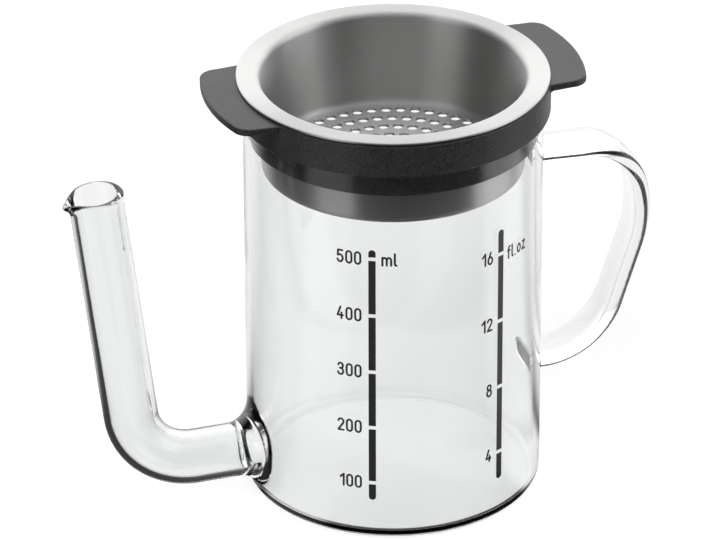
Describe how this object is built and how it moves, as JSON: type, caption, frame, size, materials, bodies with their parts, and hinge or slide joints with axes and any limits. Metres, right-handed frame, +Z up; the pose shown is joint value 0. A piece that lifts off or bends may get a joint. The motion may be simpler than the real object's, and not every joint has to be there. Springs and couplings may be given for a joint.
{
  "type": "gravy fat separator",
  "caption": "Clear glass measuring jug with a low side pouring tube and strap handle, topped by a lift-off plastic ring that carries a perforated steel strainer bowl.",
  "frame": {"origin": "centre of the jug's flat base, on the surface it stands on", "axes": "+Z up along the jug's axis, -X towards the pouring tube, +X towards the handle, -Y towards the printed scales"},
  "size_m": [0.1769, 0.0904, 0.1301],
  "materials": {
    "clear_glass": "clear, fire-polished edges",
    "fired_print": "fired charcoal ceramic print, slight gloss",
    "black_plastic": "matte black with a fine grain",
    "brushed_steel": "fine circular brushing"
  },
  "bodies": {
    "jug": {"glass_beaker": "clear_glass", "pouring_tube": "clear_glass", "strap_handle": "clear_glass", "millilitre_scale": "fired_print", "fluid_ounce_scale": "fired_print"},
    "ring": {"strainer_ring": "black_plastic"},
    "bowl": {"strainer_bowl": "brushed_steel"}
  },
  "joints": [
    {"name": "ring_lift", "type": "slide", "parent": "jug", "child": "ring", "axis": [0, 0, 1], "range_m": [0, 0.06]},
    {"name": "bowl_lift", "type": "slide", "parent": "ring", "child": "bowl", "axis": [0, 0, 1], "range_m": [0, 0.045]}
  ]
}
